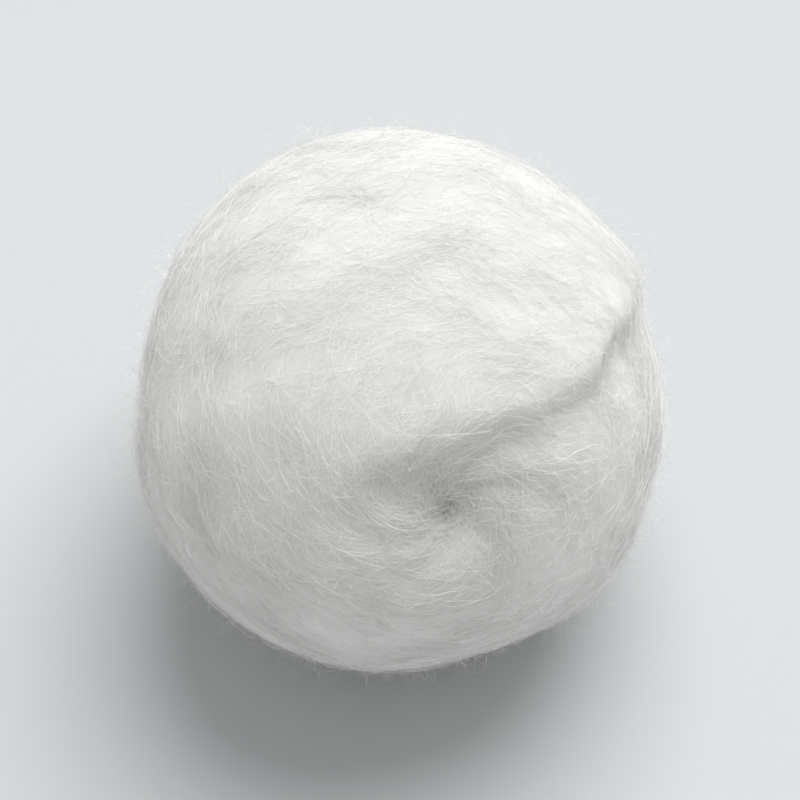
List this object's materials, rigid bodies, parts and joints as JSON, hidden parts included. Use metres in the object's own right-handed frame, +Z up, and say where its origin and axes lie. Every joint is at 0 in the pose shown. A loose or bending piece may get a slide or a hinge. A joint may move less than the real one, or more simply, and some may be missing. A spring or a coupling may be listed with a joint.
{
  "type": "cotton ball",
  "caption": "Small soft white ball of rolled cotton, with gathered tucks at the ends of its roll, a soft lap between them and a small flat spot that it stands on.",
  "frame": {"origin": "on the plane of the small flat spot that the ball stands on, under the middle of the ball's box", "axes": "+Z up; the front end of the roll, with its tuck, looks towards -Y, a little towards +X, and up"},
  "size_m": [0.0296, 0.0302, 0.0295],
  "materials": {
    "cotton": "matt bleached cotton fibre, fuzzy, with no gloss"
  },
  "bodies": {
    "root": {"cotton_ball": "cotton"}
  },
  "joints": []
}
